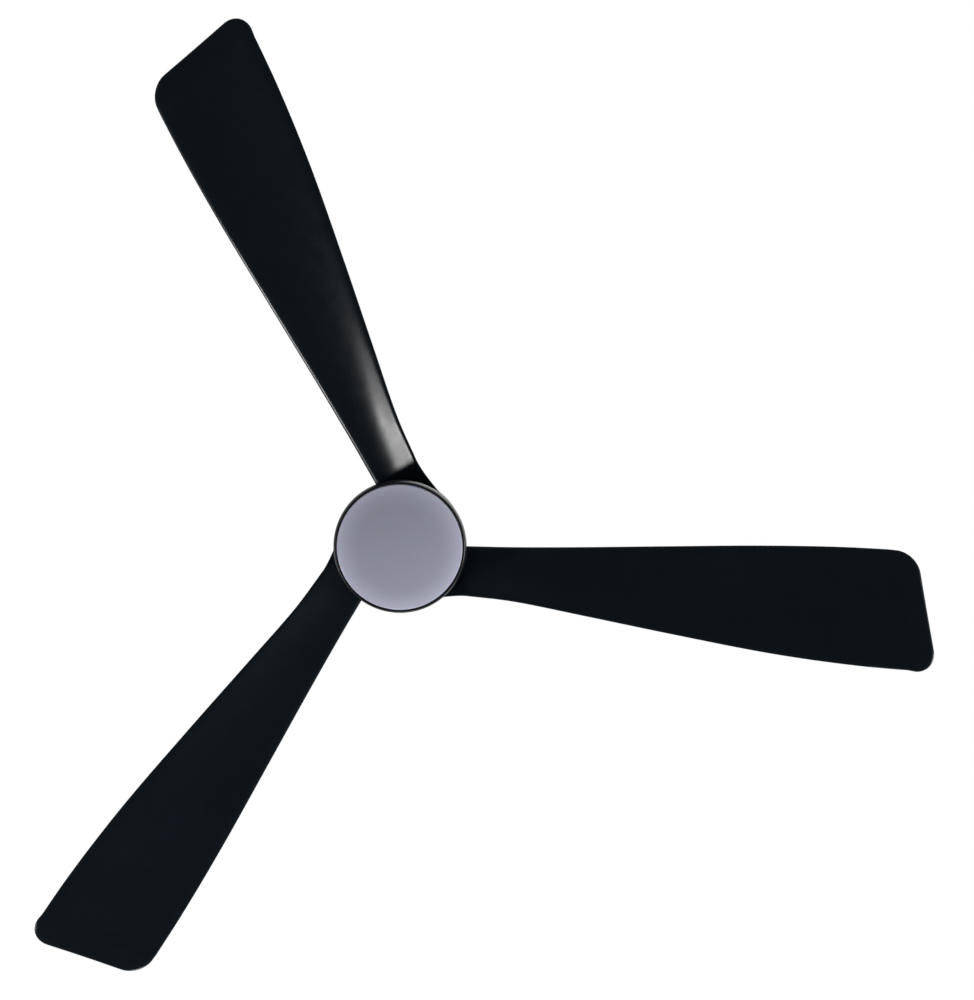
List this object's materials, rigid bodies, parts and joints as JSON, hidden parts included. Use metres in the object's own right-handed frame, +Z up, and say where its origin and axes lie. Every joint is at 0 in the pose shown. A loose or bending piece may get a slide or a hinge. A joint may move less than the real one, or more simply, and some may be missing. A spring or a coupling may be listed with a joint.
{
  "type": "ceiling fan with light",
  "caption": "Ceiling fan with swept moulded blades round a short hub, an opal disc light under the motor, hung from a ball on a short rod under a round canopy.",
  "frame": {"origin": "centre of the hanger bracket's top face, between the two ceiling slots, on the ceiling plane", "axes": "+Z up into the ceiling, along the rod and motor axis; +X along the line of the two ceiling slots and along the first blade"},
  "size_m": [1.0803, 1.1631, 0.288],
  "materials": {
    "blade_plastic": "moulded near-black plastic with a satin sheen",
    "bezel_black": "near-black satin paint",
    "black_housing": "moulded near-black plastic, satin",
    "black_paint": "near-black powder coat, satin",
    "opal": "opal diffusing plastic, unlit",
    "zinc_steel": "zinc-plated pressed steel",
    "bright_steel": "bright turned steel",
    "dark_steel": "black oxide",
    "bearing_steel": "ground and polished",
    "lamination_steel": "stacked laminations",
    "cast_iron": "painted casting",
    "cast_aluminium": "die cast",
    "copper": "enamelled copper wire",
    "brass": "turned",
    "cage_brass": "pressed",
    "magnet": "ground ferrite",
    "black_plastic": "moulded, fine texture",
    "natural_plastic": "moulded",
    "white_plastic": "moulded",
    "white_board": "white solder mask",
    "led_phosphor": "phosphor in a white package",
    "red_wire": "wire insulation",
    "yellow_wire": "wire insulation",
    "white_wire": "wire insulation",
    "green_paint": "green earth marking",
    "rubber": "soft"
  },
  "bodies": {
    "ceiling_mount": {"hanger_bracket": "zinc_steel", "canopy": "black_paint", "canopy_screws": "black_paint", "receiver": "black_plastic", "terminal_block": "natural_plastic", "bracket_leads": "red_wire", "earth_screw": "green_paint"},
    "hanging_frame": {"hanger_ball": "black_plastic", "ball_pin": "bright_steel", "ball_set_screw": "dark_steel", "downrod": "black_paint", "coupling": "cast_iron", "clevis_pin": "bright_steel", "r_clip": "bright_steel", "coupling_set_screws": "dark_steel", "shaft_set_screws": "dark_steel", "motor_shaft": "bright_steel", "stator_carrier": "cast_aluminium", "stator_core": "lamination_steel", "stator_insulators": "natural_plastic", "stator_windings": "copper", "upper_bearing_inner_ring": "bearing_steel", "lower_bearing_inner_ring": "bearing_steel", "motor_cover": "black_paint", "motor_cover_screws": "bright_steel", "motor_leads": "yellow_wire", "light_leads": "white_wire", "lead_plug": "natural_plastic", "light_bracket": "zinc_steel", "shaft_nut": "bright_steel", "light_housing": "black_housing", "housing_screws": "bright_steel", "led_driver": "white_plastic", "led_leads": "red_wire", "led_standoffs": "brass", "led_plate": "cast_aluminium", "led_board": "white_board", "led_chips": "led_phosphor", "led_plate_screws": "bright_steel", "bezel": "bezel_black", "bezel_screws": "bright_steel"},
    "rotor": {"rotor_lower_shell": "cast_aluminium", "rotor_upper_shell": "cast_aluminium", "rotor_screws": "bright_steel", "rotor_magnets": "magnet", "upper_bearing_outer_ring": "bearing_steel", "lower_bearing_outer_ring": "bearing_steel", "blade_1": "blade_plastic", "blade_2": "blade_plastic", "blade_3": "blade_plastic", "blade_screws": "bright_steel"},
    "upper_cage": {"upper_bearing_balls": "bearing_steel", "upper_bearing_cage": "cage_brass"},
    "lower_cage": {"lower_bearing_balls": "bearing_steel", "lower_bearing_cage": "cage_brass"},
    "service_cover": {"coupling_cover": "black_paint", "cover_grommet": "rubber"},
    "diffuser_lens": {"diffuser": "opal"}
  },
  "joints": [
    {"name": "rod_lean", "type": "hinge", "parent": "ceiling_mount", "child": "hanging_frame", "pos_m": [0, 0, -0.038], "axis": [1, 0, 0], "range_deg": [-12, 12]},
    {"name": "rotor_spin", "type": "hinge", "parent": "hanging_frame", "child": "rotor", "pos_m": [0, 0, -0.2], "axis": [0, 0, 1], "continuous": true},
    {"name": "upper_cage_spin", "type": "hinge", "parent": "hanging_frame", "child": "upper_cage", "pos_m": [0, 0, -0.188], "axis": [0, 0, 1], "continuous": true},
    {"name": "lower_cage_spin", "type": "hinge", "parent": "hanging_frame", "child": "lower_cage", "pos_m": [0, 0, -0.212], "axis": [0, 0, 1], "continuous": true},
    {"name": "cover_slide", "type": "slide", "parent": "hanging_frame", "child": "service_cover", "axis": [0, 0, 1], "range_m": [0, 0.036]},
    {"name": "diffuser_twist", "type": "hinge", "parent": "hanging_frame", "child": "diffuser_lens", "pos_m": [0, 0, -0.28], "axis": [0, 0, 1], "range_deg": [0, 15]}
  ],
  "couplings": [
    {"joint": "upper_cage_spin", "follows": "rotor_spin", "ratio": 0.6193},
    {"joint": "lower_cage_spin", "follows": "rotor_spin", "ratio": 0.6193}
  ]
}
